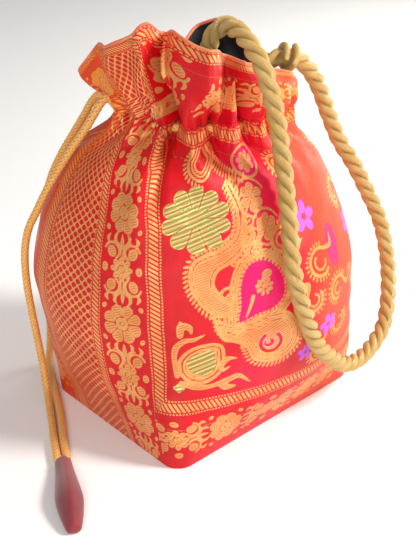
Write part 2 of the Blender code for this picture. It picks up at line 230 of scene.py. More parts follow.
def unseen_folds():
    """Folds round the rest of the body, which no view of the front fixes."""
    rng = np.random.default_rng(7)
    folds = []
    u = 0.112
    out = 1.0
    while u < CIRCUMFERENCE - 0.125:
        depth = out * rng.uniform(0.0035, 0.0065) * (1.0 if out < 0 else 0.7)
        foot = rng.uniform(0.135, 0.162)
        folds.append((u, u + rng.uniform(-0.012, 0.012), foot, 0.0055, 0.0085, depth))
        u += rng.uniform(0.0085, 0.0135)
        out = -out
    return np.array(folds)


def body_fold(u, v, folds):
    out = np.zeros_like(u)
    for top, foot, low, wide_top, wide_foot, depth in folds:
        t = np.clip((NECK_V - v) / (NECK_V - low), 0.0, 1.0)
        middle = top + (foot - top) * t
        wide = wide_top + (wide_foot - wide_top) * t
        out += depth * (1 - ease(t)) * np.exp(-((wrapped(u - middle) / wide) ** 2))
    return out


def ruffle_fold(u, s, folds):
    out = np.zeros_like(u)
    for low, high, wide_low, wide_high, first, half, last in folds:
        middle = low + (high - low) * s
        wide = wide_low + (wide_high - wide_low) * s
        deep = first * (1 - s) * (1 - 2 * s) + half * 4 * s * (1 - s) + last * s * (2 * s - 1)
        out += deep * np.exp(-((wrapped(u - middle) / wide) ** 2))
    return out


def slow_noise(u, v, seed, sizes, height):
    """Smooth noise that closes round the bag, as a sum of waves of the given sizes."""
    rng = np.random.default_rng(seed)
    out = np.zeros_like(u)
    for size in sizes:
        for _ in range(6):
            turns = round(CIRCUMFERENCE / size * rng.uniform(0.4, 1.0)) * rng.choice([-1, 1])
            rise = rng.uniform(-1, 1) / size
            phase = rng.uniform(0, 2 * math.pi)
            wave = 2 * math.pi * (turns * u / CIRCUMFERENCE + rise * v) + phase
            out += np.sin(wave) * size / sizes[0]
    return out * height / math.sqrt(3 * len(sizes))


def fine_pleats(u, v):
    """The small pleats of the gathering, deepest at the cord."""
    away = np.abs(v - NECK_V)
    depth = 0.0026 * np.exp(-((away / np.where(v < NECK_V, 0.0100, 0.0085)) ** 2))
    warp = slow_noise(u, v * 0.25, 3, (0.050, 0.025), 0.0042)
    phase = (u + warp) / CIRCUMFERENCE * 2 * math.pi * 62
    ridge = np.abs(np.sin(phase / 2))
    return depth * (ridge - 0.75) * (1 + 0.5 * np.sin((u + 2 * warp) * 2 * math.pi * 9 / CIRCUMFERENCE))


def outwards(ring):
    """Level unit vectors out of a closed ring."""
    along = np.roll(ring, -1, axis=0) - np.roll(ring, 1, axis=0)
    out = np.column_stack([along[:, 1], -along[:, 0], np.zeros(len(ring))])
    return out / (np.linalg.norm(out, axis=1)[:, None] + 1e-12)


def cloth(u, body_rows, ruffle_rows):
    """The brocade's outer face at columns u, as rows of points from the floor to the rim, and v."""
    shares = (u / CIRCUMFERENCE) % 1.0
    rings = body_rings(shares, rows_by_length(body_rows))
    edge = smooth_loop(RIM, shares)
    rim = np.column_stack([edge[:, :1] * ACROSS + edge[:, 1:2] * FORWARD, edge[:, 2]])
    folds = np.vstack([BODY_FOLDS, unseen_folds()])
    body_v = np.linspace(0, NECK_V, body_rows)
    outs = np.array([outwards(ring) for ring in rings])
    grid_u, grid_v = np.meshgrid(u, body_v)
    stand = body_fold(grid_u, grid_v, folds)
    stand += fine_pleats(grid_u, grid_v)
    soft = ease(grid_v / 0.030)
    stand += soft * slow_noise(grid_u, grid_v, 11, (0.070, 0.035, 0.018), 0.0007)
    body = rings + outs * stand[..., None]
    share = np.linspace(0, 1, ruffle_rows + 1)[1:]
    neck = rings[-1]
    middle = neck.mean(axis=0)
    out = neck - middle
    out /= np.linalg.norm(out, axis=1)[:, None]
    upper = []
    for s in share:
        v = NECK_V + (RIM_V - NECK_V) * s
        swell = 0.0045 * math.sin(math.pi * s)
        stand = ruffle_fold(u, s, RUFFLE_FOLDS) + fine_pleats(u, np.full_like(u, v))
        carried = body_fold(u, np.full_like(u, NECK_V), folds) * (1 - ease(s / 0.6))
        stand += slow_noise(u, np.full_like(u, v), 5, (0.040, 0.020), 0.0010) * s
        upper.append(neck + (rim - neck) * s + out * (swell + stand + carried)[:, None])
    points = np.concatenate([body, np.array(upper)])
    v = np.concatenate([body_v, NECK_V + (RIM_V - NECK_V) * share])
    return points, v


# Camera, at the photograph's angle
CAMERA_AT = (-0.3322, -0.3720, 0.3469)
CAMERA_LOOKS_AT = (-0.02296, -0.02974, 0.09)
CAMERA_ROLL = math.radians(-0.53)
LENS = 64.86


def add_camera():
    data = bpy.data.cameras.new("camera")
    data.lens = LENS
    data.sensor_width = 36.0
    data.clip_start = 0.01
    camera = bpy.data.objects.new("camera", data)
    bpy.context.scene.collection.objects.link(camera)
    ahead = (Vector(CAMERA_LOOKS_AT) - Vector(CAMERA_AT)).normalized()
    right = ahead.cross(Vector((0, 0, 1))).normalized()
    up = right.cross(ahead)
    c, s = math.cos(CAMERA_ROLL), math.sin(CAMERA_ROLL)
    right, up = right * c + up * s, up * c - right * s
    turn = Matrix((right, up, -ahead)).transposed()
    camera.matrix_world = Matrix.Translation(CAMERA_AT) @ turn.to_4x4()
    bpy.context.scene.camera = camera


def add_light(name, at, aim, size, power, colour=(1, 1, 1)):
    data = bpy.data.lights.new(name, "AREA")
    data.shape = "DISK"
    data.size = size
    data.energy = power
    data.color = colour
    light = bpy.data.objects.new(name, data)
    bpy.context.scene.collection.objects.link(light)
    light.location = at
    light.rotation_euler = (Vector(aim) - Vector(at)).to_track_quat("-Z", "Y").to_euler()


def studio():
    world = bpy.data.worlds.new("studio")
    world.use_nodes = True
    world.node_tree.nodes["Background"].inputs["Color"].default_value = (1, 1, 1, 1)
    world.node_tree.nodes["Background"].inputs["Strength"].default_value = 0.38
    bpy.context.scene.world = world
    bpy.context.scene.view_settings.view_transform = "Standard"
    middle = (0, 0, 0.1)
    add_light("key", (0.55, -0.75, 0.85), middle, 0.30, 15, (1.0, 0.97, 0.93))
    add_light("side", (0.95, 0.05, 0.35), middle, 0.4, 5.5, (1.0, 0.92, 0.82))
    add_light("front", (-0.75, -0.60, 0.55), middle, 0.4, 4.5, (1.0, 0.97, 0.95))
    mesh = bpy.data.meshes.new("floor")
    r = 3.0
    mesh.from_pydata([(-r, -r, 0), (r, -r, 0), (r, r, 0), (-r, r, 0)], [], [(0, 1, 2, 3)])
    floor = bpy.data.objects.new("floor", mesh)
    bpy.context.scene.collection.objects.link(floor)
    mat = bpy.data.materials.new("floor")
    mat.use_nodes = True
    shader = mat.node_tree.nodes["Principled BSDF"]
    shader.inputs["Base Color"].default_value = (0.93, 0.93, 0.93, 1)
    shader.inputs["Roughness"].default_value = 0.9
    shader.inputs["Specular IOR Level"].default_value = 0.1
    mesh.materials.append(mat)


add_camera()
studio()


# Routes, as in the CAD: across, forward, height
ROPE_DIAMETER = 0.0094
CORD_DIAMETER = 0.0044
CORD_HEIGHT = 0.1675
ROPE_ROUTE = (
    (0.0020, 0.0112, 0.1870),
    (0.0033, 0.0116, 0.2000),
    (0.0060, 0.0122, 0.2110),
    (0.0109, 0.0140, 0.2170),
    (0.0185, 0.0239, 0.2172),
    (0.0250, 0.0339, 0.2115),
    (0.0299, 0.0399, 0.2039),
    (0.0333, 0.0419, 0.1938),
    (0.0358, 0.0428, 0.1843),
    (0.0391, 0.0448, 0.1657),
    (0.0406, 0.0478, 0.1549),
    (0.0416, 0.0528, 0.1449),
    (0.0430, 0.0588, 0.1337),
    (0.0440, 0.0638, 0.1214),
    (0.0451, 0.0663, 0.1105),
    (0.0486, 0.0668, 0.0960),
    (0.0528, 0.0648, 0.0812),
    (0.0587, 0.0587, 0.0635),
    (0.0688, 0.0467, 0.0453),
    (0.0794, 0.0326, 0.0312),
    (0.0900, 0.0186, 0.0258),
    (0.0986, 0.0065, 0.0268),
    (0.1066, -0.0065, 0.0324),
    (0.1099, -0.0175, 0.0500),
    (0.1078, -0.0235, 0.0737),
    (0.1019, -0.0265, 0.0952),
    (0.0947, -0.0280, 0.1098),
    (0.0858, -0.0294, 0.1266),
    (0.0770, -0.0294, 0.1406),
    (0.0692, -0.0273, 0.1590),
    (0.0632, -0.0243, 0.1743),
    (0.0565, -0.0203, 0.1856),
    (0.0513, -0.0172, 0.1905),
    (0.0459, -0.0152, 0.1925),
    (0.0394, -0.0122, 0.1930),
    (0.0330, -0.0092, 0.1915),
    (0.0285, -0.0070, 0.1870),
    (0.0268, -0.0058, 0.1810),
)
NEAR_ROUTE = (
    (-0.0376, 0.0040, 0.1680),
    (-0.0420, 0.0045, 0.1700),
    (-0.0450, 0.0055, 0.1755),
    (-0.0480, 0.0065, 0.1785),
    (-0.0505, 0.0082, 0.1769),
    (-0.0542, 0.0103, 0.1718),
    (-0.0579, 0.0115, 0.1661),
    (-0.0620, 0.0120, 0.1603),
    (-0.0664, 0.0125, 0.1544),
    (-0.0738, 0.0140, 0.1436),
    (-0.0808, 0.0150, 0.1326),
    (-0.0885, 0.0160, 0.1183),
    (-0.0930, 0.0160, 0.1095),
    (-0.0952, 0.0160, 0.1025),
    (-0.0968, 0.0155, 0.0942),
    (-0.0976, 0.0150, 0.0838),
    (-0.0976, 0.0145, 0.0700),
    (-0.0969, 0.0135, 0.0557),
    (-0.0958, 0.0135, 0.0430),
    (-0.0947, 0.0134, 0.0294),
    (-0.0934, 0.0144, 0.0161),
    (-0.0915, 0.0210, 0.0055),
    (-0.0888, 0.0320, 0.0026),
    (-0.0860, 0.0444, 0.0026),
    (-0.0820, 0.0628, 0.0026),
    (-0.0777, 0.0806, 0.0026),
)
FAR_ROUTE = (
    (-0.0376, -0.0040, 0.1680),
    (-0.0430, -0.0050, 0.1690),
    (-0.0490, -0.0080, 0.1735),
    (-0.0535, -0.0110, 0.1745),
    (-0.0580, -0.0145, 0.1700),
    (-0.0630, -0.0175, 0.1615),
    (-0.0700, -0.0205, 0.1500),
    (-0.0780, -0.0225, 0.1370),
    (-0.0855, -0.0240, 0.1220),
    (-0.0905, -0.0250, 0.1060),
    (-0.0930, -0.0260, 0.0900),
    (-0.0940, -0.0265, 0.0700),
    (-0.0945, -0.0265, 0.0450),
    (-0.0950, -0.0260, 0.0210),
    (-0.0957, -0.0220, 0.0075),
    (-0.0955, -0.0140, 0.0028),
    (-0.0925, -0.0020, 0.0026),
    (-0.0880, 0.0150, 0.0026),
    (-0.0835, 0.0320, 0.0026),
    (-0.0800, 0.0470, 0.0026),
    (-0.0768, 0.0635, 0.0026),
    (-0.0728, 0.0796, 0.0026),
)


def place(point):
    across, forward, height = point
    x, y = across * ACROSS + forward * FORWARD
    return (x, y, height)


def read_route(route, spacing):
    """Points at an even spacing on the smooth curve through a route's own points."""
    own = np.array([place(p) for p in route])
    along = np.concatenate([[0], np.cumsum(np.linalg.norm(np.diff(own, axis=0), axis=1))])
    tangent = np.gradient(own, along, axis=0)
    dense = hermite(along, own, tangent, np.linspace(0, along[-1], 2000))
    true = np.concatenate([[0], np.cumsum(np.linalg.norm(np.diff(dense, axis=0), axis=1))])
    at = np.linspace(0, true[-1], round(true[-1] / spacing) + 1)
    return np.stack([np.interp(at, true, dense[:, k]) for k in range(3)], axis=1)


def frames_along(path):
    """Two unit vectors across the path at each point, carried along it without twisting."""
    ahead = np.gradient(path, axis=0)
    ahead /= np.linalg.norm(ahead, axis=1)[:, None]
    side = np.cross(ahead[0], (0.3, 0.2, 0.93))
    sides = []
    for t in ahead:
        side = side - t * np.dot(side, t)
        side = side / np.linalg.norm(side)
        sides.append(side)
    sides = np.array(sides)
    return sides, np.cross(ahead, sides)


def new_piece(name, points, faces, uv=None, smooth=True):
    mesh = bpy.data.meshes.new(name)
    mesh.from_pydata(np.asarray(points).tolist(), [], faces)
    if uv is not None:
        layer = mesh.uv_layers.new(name="cloth")
        loops = np.array([uv[k] for k in range(len(uv))]).ravel()
        layer.data.foreach_set("uv", loops)
    if smooth:
        mesh.shade_smooth()
    obj = bpy.data.objects.new(name, mesh)
    bpy.context.scene.collection.objects.link(obj)
    return obj


def skin(rings, first, uv_u, uv_v, closed_ends=True):
    """Faces and their loops' UVs for a tube of rings whose vertices start at first."""
    count, sides = rings
    faces = []
    uv = []
    for i in range(count - 1):
        for j in range(sides):
            k = (j + 1) % sides
            a = first + i * sides
            b = a + sides
            faces.append((a + j, a + k, b + k, b + j))
            u0, u1 = uv_u[j], uv_u[j + 1]
            uv += [(u0, uv_v[i]), (u1, uv_v[i]), (u1, uv_v[i + 1]), (u0, uv_v[i + 1])]
    if closed_ends:
        last = first + (count - 1) * sides
        faces.append(tuple(range(first + sides - 1, first - 1, -1)))
        faces.append(tuple(range(last, last + sides)))
        uv += [(0, uv_v[0])] * sides + [(0, uv_v[-1])] * sides
    return faces, uv


def sweep(path, radii, sides=16):
    """Vertices of a round tube along a path; radii is one number a ring, or rings by sides."""
    one, two = frames_along(path)
    turn = np.linspace(0, 2 * math.pi, sides, endpoint=False)
    radii = np.asarray(radii)
    if radii.ndim == 1:
        radii = np.repeat(radii[:, None], sides, axis=1)
    ring = np.cos(turn)[None, :, None] * one[:, None] + np.sin(turn)[None, :, None] * two[:, None]
    return (path[:, None] + ring * radii[..., None]).reshape(-1, 3)


def rope(name, path, diameter, pitch, strands=3, sides=14):
    """A laid rope: strands that wind round the path."""
    one, two = frames_along(path)
    along = np.concatenate([[0], np.cumsum(np.linalg.norm(np.diff(path, axis=0), axis=1))])
    offset = diameter * 0.268
    points, faces, uv = [], [], []
    edge = np.linspace(0, 1, sides + 1)
    for k in range(strands):
        turn = 2 * math.pi * (k / strands - along / pitch)
        out = np.cos(turn)[:, None] * one + np.sin(turn)[:, None] * two
        middle = path + out * offset
        ends = np.minimum(along, along[-1] - along)
        fat = diameter * 0.236 * (0.55 + 0.45 * ease(ends / (diameter * 0.6)))
        ring = sweep(middle, fat, sides)
        base = sum(len(p) for p in points)
        more, uvs = skin((len(path), sides), base, edge, along)
        points.append(ring)
        faces += more
        uv += uvs
    return new_piece(name, np.concatenate(points), faces, uv)


def braid(name, path, diameter):
    """A round braided cord."""
    sides = 24
    along = np.concatenate([[0], np.cumsum(np.linalg.norm(np.diff(path, axis=0), axis=1))])
    turn = np.linspace(0, 2 * math.pi, sides, endpoint=False)
    wave = 2 * math.pi * along[:, None] / 0.0052
    left = np.cos(2 * turn[None] + wave)
    right = np.cos(2 * turn[None] - wave)
    over = np.cos(4 * turn[None]) > 0
    height = np.where(over, np.abs(left), np.abs(right))
    radii = diameter / 2 * (0.84 + 0.18 * height)
    edge = np.linspace(0, 1, sides + 1)
    faces, uv = skin((len(path), sides), 0, edge, along)
    obj = new_piece(name, sweep(path, radii, sides), faces, uv)
    tone = obj.data.attributes.new("height", "FLOAT", "POINT")
    tone.data.foreach_set("value", height.ravel().astype(np.float32))
    return obj


# Pattern of the brocade: cu and cv are the cloth's own coordinates in metres, with cu 0 at the
# edge between the floral border and the field; it repeats every REPEAT round the bag
REPEAT = 0.252
BORDER_HALF = 0.0287  # from a flower to the next medallion

# Where two lines of the cloth lie on the bag, by v: the middle of the stripes left of the floral
# border, and the right edge of the stripes right of it
BORDER_LINES = np.array(
    [
        (0.000, -0.0370, -0.0010),
        (0.017, -0.0385, -0.0020),
        (0.030, -0.0400, -0.0035),
        (0.045, -0.0411, -0.0040),
        (0.060, -0.0408, -0.0028),
        (0.077, -0.0392, -0.0016),
        (0.100, -0.0384, -0.0017),
        (0.120, -0.0405, -0.0030),
        (0.134, -0.0435, -0.0054),
        (0.143, -0.0465, -0.0085),
        (0.152, -0.0510, -0.0105),
        (0.161, -0.0565, -0.0125),
        (0.169, -0.0640, -0.0180),
        (0.179, -0.0740, -0.0235),
        (0.188, -0.0700, -0.0240),
        (0.200, -0.0350, 0.0040),
        (0.213, -0.0430, 0.0150),
        (0.231, -0.0620, 0.0200),
    ]
)
LINE_CU = (-0.036, 0.001)
RISE = np.array(
    [
        (0.0, 0.0),
        (0.0224, 0.0215),
        (0.0510, 0.0525),
        (0.0840, 0.0812),
        (0.1138, 0.1099),
        (0.1406, 0.1386),
        (0.1682, 0.1673),
        (0.188, 0.188),
        (0.231, 0.231),
    ]
)


def cloth_coordinates(u, v):
    """The cloth's own coordinates at points u and v of the bag."""
    stripes = np.interp(v, BORDER_LINES[:, 0], BORDER_LINES[:, 1])
    edge = np.interp(v, BORDER_LINES[:, 0], BORDER_LINES[:, 2])
    left, right = -0.16, 0.10
    cu = np.where(
        u < stripes,
        left + (u - left) / (stripes - left) * (LINE_CU[0] - left),
        np.where(
            u < edge,
            LINE_CU[0] + (u - stripes) / (edge - stripes) * (LINE_CU[1] - LINE_CU[0]),
            LINE_CU[1] + (u - edge) / (right - edge) * (right - LINE_CU[1]),
        ),
    )
    cu = np.where((u < left) | (u > right), u, cu)
    return cu, np.interp(v, RISE[:, 0], RISE[:, 1])


def in_repeat(u):
    return (u + 0.090) % REPEAT - 0.090


class Shapes:
    """The signed distance from points to a union of shapes, negative inside."""

    FAR = 0.006

    def __init__(self, x, y):
        self.x, self.y = x, y
        self.d = np.full_like(x, self.FAR)

    def near(self, x, y, reach):
        reach += self.FAR
        return np.nonzero((np.abs(self.x - x) < reach) & (np.abs(self.y - y) < reach))[0]

    def join(self, at, d):
        self.d[at] = np.minimum(self.d[at], d)

    def cut(self, at, d):
        self.d[at] = np.maximum(self.d[at], -d)

    def oval(self, x, y, a, b, angle=0.0, cut=False):
        at = self.near(x, y, max(a, b))
        c, s = math.cos(angle), math.sin(angle)
        px, py = self.x[at] - x, self.y[at] - y
        qx, qy = px * c + py * s, py * c - px * s
        k = np.hypot(qx / a, qy / b) + 1e-6
        d = np.hypot(qx, qy) * (1 - 1 / k)
        (self.cut if cut else self.join)(at, d)

    def ring(self, x, y, radius, half, start=None, cut=False):
        at = self.near(x, y, radius + half)
        px, py = self.x[at] - x, self.y[at] - y
        d = np.abs(np.hypot(px, py) - radius) - half
        if start is not None:
            first, sweep_by = start
            turn = (np.arctan2(py, px) - first) % (2 * math.pi)
            gap = np.minimum(turn - sweep_by, 2 * math.pi - turn) * radius
            d = np.where(turn > sweep_by, np.maximum(d, gap * 0.8), d)
        (self.cut if cut else self.join)(at, d)

    def petals(self, x, y, inner, outer, count, turn=0.0, power=0.7, squash=1.0):
        at = self.near(x, y, outer)
        px, py = (self.x[at] - x) / squash, self.y[at] - y
        angle = np.arctan2(py, px) - turn
        reach = inner + (outer - inner) * np.abs(np.cos(angle * count / 2)) ** power
        self.join(at, np.hypot(px, py) - reach)

    def spokes(self, x, y, count, turn, first, last, half, squash=1.0):
        """Cuts count thin lines out from a point."""
        at = self.near(x, y, last)
        px, py = (self.x[at] - x) / squash, self.y[at] - y
        r = np.hypot(px, py)
        angle = (np.arctan2(py, px) - turn) * count / (2 * math.pi)
        side = np.abs(angle - np.round(angle)) * 2 * math.pi / count * r
        self.cut(at, np.maximum(side - half, np.maximum(first - r, r - last)))

    def stroke(self, line, widths, cut=False):
        """A line of points whose half width runs through widths."""
        line = np.asarray(line, dtype=float)
        widths = np.interp(np.linspace(0, 1, len(line)), np.linspace(0, 1, len(widths)), widths)
        for (x0, y0), (x1, y1), w0, w1 in zip(line, line[1:], widths, widths[1:]):
            reach = max(abs(x1 - x0), abs(y1 - y0)) / 2 + max(w0, w1)
            at = self.near((x0 + x1) / 2, (y0 + y1) / 2, reach)
            if not len(at):
                continue
            dx, dy = x1 - x0, y1 - y0
            px, py = self.x[at] - x0, self.y[at] - y0
            t = np.clip((px * dx + py * dy) / (dx * dx + dy * dy + 1e-12), 0, 1)
            d = np.hypot(px - t * dx, py - t * dy) - (w0 + (w1 - w0) * t)
            (self.cut if cut else self.join)(at, d)

    def outline(self, loop):
        """Signed distance to a closed outline, and the points it was measured at."""
        loop = np.asarray(loop, dtype=float)
        middle = (loop.max(axis=0) + loop.min(axis=0)) / 2
        at = self.near(*middle, np.abs(loop - middle).max())
        px, py = self.x[at], self.y[at]
        d = np.full(len(at), 1.0)
        inside = np.zeros(len(at), dtype=bool)
        for (x0, y0), (x1, y1) in zip(loop, np.roll(loop, -1, axis=0)):
            dx, dy = x1 - x0, y1 - y0
            t = np.clip(((px - x0) * dx + (py - y0) * dy) / (dx * dx + dy * dy + 1e-12), 0, 1)
            d = np.minimum(d, np.hypot(px - x0 - t * dx, py - y0 - t * dy))
            crosses = (y0 > py) != (y1 > py)
            inside ^= crosses & (px < x0 + (py - y0) * dx / (dy if dy else 1e-12))
        return at, np.where(inside, -d, d)

    def patch(self, loop, grow=0.0, cut=False):
        at, d = self.outline(loop)
        (self.cut if cut else self.join)(at, d - grow)

    def band(self, loop, inset, half, cut=False):
        """A line that follows a closed outline at a distance inside it."""
        at, d = self.outline(loop)
        (self.cut if cut else self.join)(at, np.abs(d + inset) - half)

    def leaves(self, line, length, spacing, lean, wide=0.0007, side=1):
        """A row of small leaves along a line, leaning from its left side, or its right."""
        line = resample(line, spacing)
        ahead = np.gradient(line, axis=0)
        ahead /= np.linalg.norm(ahead, axis=1)[:, None]
        for (x, y), (ax, ay) in zip(line, ahead):
            nx, ny = -ay * side, ax * side
            dx = nx * math.cos(lean) + ax * math.sin(lean)
            dy = ny * math.cos(lean) + ay * math.sin(lean)
            tip = (x + dx * length, y + dy * length)
            foot = (x + dx * length * 0.22, y + dy * length * 0.22)
            self.stroke((foot, ((foot[0] + tip[0]) / 2, (foot[1] + tip[1]) / 2), tip), (wide * 0.7, wide, wide * 0.4))


def smooth_line(points, steps=8, closed=False):
    """A smooth line through a few points."""
    p = np.asarray(points, dtype=float)
    if closed:
        p = np.vstack([p[-1:], p, p[:2]])
    else:
        p = np.vstack([2 * p[:1] - p[1:2], p, 2 * p[-1:] - p[-2:-1]])
    out = []
    for a, b, c, d in zip(p, p[1:], p[2:], p[3:]):
        for t in np.linspace(0, 1, steps, endpoint=False):
            out.append(
                0.5 * (2 * b + (c - a) * t + (2 * a - 5 * b + 4 * c - d) * t * t + (3 * b - a - 3 * c + d) * t**3)
            )
    if not closed:
        out.append(p[-2])
    return np.array(out)


def resample(line, spacing):
    line = np.asarray(line, dtype=float)
    along = np.concatenate([[0], np.cumsum(np.linalg.norm(np.diff(line, axis=0), axis=1))])
    at = np.linspace(0, along[-1], max(2, round(along[-1] / spacing) + 1))
    return np.stack([np.interp(at, along, line[:, k]) for k in (0, 1)], axis=1)


def floral_border(s, t):
    """Gold of the floral border, from s along it (a flower at 0) and t across it."""
    period = 2 * BORDER_HALF
    s = np.abs((s + BORDER_HALF) % period - BORDER_HALF)
    far = np.abs(t)
    g = Shapes(s, far)
    g.petals(0, 0, 0.0042, 0.0064, 8, 0.0, 0.8)
    g.spokes(0, 0, 8, math.pi / 8, 0.0026, 0.0058, 0.00022)
    g.ring(0, 0, 0.0019, 0.0003, cut=True)
    g.oval(0.0002, 0.0098, 0.0021, 0.0017)
    g.oval(0.0085, 0.0062, 0.0030, 0.0025, 0.3)
    g.ring(0.0088, 0.0060, 0.0043, 0.0006, (-2.6, 4.0))
    g.stroke(smooth_line([(0.0066, 0.0009), (0.0105, 0.0012), (0.0135, 0.0030), (0.0146, 0.0058)]), (0.0004, 0.0009, 0.0003))
    g.stroke(smooth_line([(0.0112, 0.0000), (0.0145, 0.0000), (0.0182, 0.0000)]), (0.0005, 0.0011, 0.0003))
    g.stroke(smooth_line([(0.0126, 0.0080), (0.0150, 0.0092), (0.0172, 0.0078)]), (0.0004, 0.0010, 0.0003))
    g.stroke(smooth_line([(0.0140, 0.0036), (0.0165, 0.0044), (0.0186, 0.0030)]), (0.0004, 0.0010, 0.0003))
    m = BORDER_HALF
    g.petals(m, 0, 0.0082, 0.0102, 8, math.pi / 8, 0.6)
    g.spokes(m, 0, 8, 0.0, 0.0030, 0.0102, 0.00030)
    g.ring(m, 0, 0.0037, 0.00028, cut=True)
    g.ring(m, 0, 0.0012, 0.00028, cut=True)
    g.oval(m - 0.0085, 0.0100, 0.0016, 0.0012, 0.6)
    return np.where(far > 0.0122, np.maximum(g.d, far - 0.0122), g.d)


PALE_FLOWER = (0.0140, 0.1400, 0.0190, 0.0148)
PLUME = [
    (0.0330, 0.1560), (0.0380, 0.1430), (0.0370, 0.1320), (0.0290, 0.1260), (0.0200, 0.1235),
    (0.0125, 0.1190), (0.0115, 0.1080), (0.0165, 0.0970), (0.0250, 0.0895), (0.0325, 0.0900),
    (0.0345, 0.0960), (0.0285, 0.1010), (0.0245, 0.1075), (0.0265, 0.1140), (0.0330, 0.1175),
    (0.0405, 0.1230), (0.0440, 0.1330), (0.0425, 0.1450), (0.0375, 0.1560),
]
HEART_DROP = [
    (0.0360, 0.0850), (0.0368, 0.0950), (0.0375, 0.1060), (0.0420, 0.1155), (0.0500, 0.1180),
    (0.0580, 0.1140), (0.0625, 0.1050), (0.0620, 0.0960), (0.0560, 0.0900), (0.0460, 0.0880),
]
SCROLL_DROP = [
    (0.0240, 0.0880), (0.0330, 0.0845), (0.0430, 0.0850), (0.0540, 0.0875), (0.0640, 0.0860),
    (0.0700, 0.0760), (0.0690, 0.0650), (0.0620, 0.0580), (0.0520, 0.0570), (0.0430, 0.0610),
    (0.0390, 0.0700), (0.0330, 0.0735), (0.0270, 0.0760),
]
GREEN_DROP = [
    (0.0250, 0.0710), (0.0180, 0.0715), (0.0110, 0.0690), (0.0062, 0.0640), (0.0060, 0.0580),
    (0.0100, 0.0540), (0.0165, 0.0535), (0.0225, 0.0570), (0.0250, 0.0630),
]
UPPER_DROP = [
    (0.0020, 0.1840), (0.0060, 0.1780), (0.0040, 0.1700), (0.0080, 0.1620), (0.0170, 0.1590),
    (0.0230, 0.1640), (0.0260, 0.1730), (0.0200, 0.1790), (0.0130, 0.1860),
]


